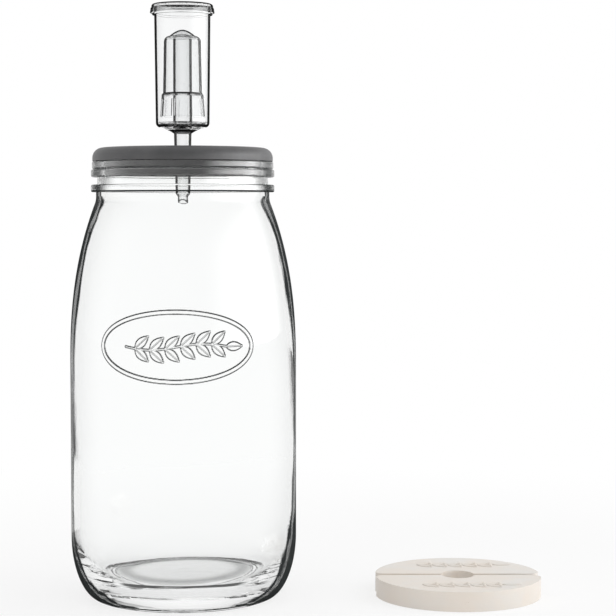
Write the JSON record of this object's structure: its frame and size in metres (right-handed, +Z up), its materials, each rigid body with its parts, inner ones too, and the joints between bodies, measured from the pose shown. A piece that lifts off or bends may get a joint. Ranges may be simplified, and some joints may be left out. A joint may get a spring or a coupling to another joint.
{
  "type": "fermentation jar",
  "caption": "Tall clear glass jar with a push-in silicone lid, a clear floating-cup airlock standing in the lid, and a ceramic weight in two half discs beside it.",
  "frame": {"origin": "on the surface that the set stands on, midway between the left side of the jar and the right side of the weights", "axes": "+Z up along the jar's axis, +X from the jar towards the weights, -Y towards the front"},
  "size_m": [0.2926, 0.14, 0.3666],
  "materials": {
    "jar_glass": "clear, polished",
    "lid_silicone": "matte moulded silicone",
    "airlock_plastic": "clear, glossy",
    "weight_ceramic": "off-white satin glaze"
  },
  "bodies": {
    "jar": {"glass_jar": "jar_glass"},
    "lid": {"silicone_lid": "lid_silicone"},
    "airlock": {"airlock_body": "airlock_plastic"},
    "bubbler": {"airlock_bubbler": "airlock_plastic"},
    "cap": {"airlock_cap": "airlock_plastic"},
    "back_half": {"weight_half_back": "weight_ceramic"},
    "front_half": {"weight_half_front": "weight_ceramic"}
  },
  "joints": [
    {"name": "lid_lift", "type": "slide", "parent": "jar", "child": "lid", "axis": [0, 0, 1], "range_m": [0, 0.06]},
    {"name": "airlock_pull", "type": "slide", "parent": "lid", "child": "airlock", "axis": [0, 0, 1], "range_m": [0, 0.05]},
    {"name": "bubbler_float", "type": "slide", "parent": "airlock", "child": "bubbler", "axis": [0, 0, 1], "range_m": [0, 0.0135]},
    {"name": "cap_lift", "type": "slide", "parent": "airlock", "child": "cap", "axis": [0, 0, 1], "range_m": [0, 0.03]},
    {"name": "back_half_lift", "type": "slide", "parent": "jar", "child": "back_half", "axis": [0, 0, 1], "range_m": [0, 0.04]},
    {"name": "front_half_lift", "type": "slide", "parent": "jar", "child": "front_half", "axis": [0, 0, 1], "range_m": [0, 0.04]}
  ]
}
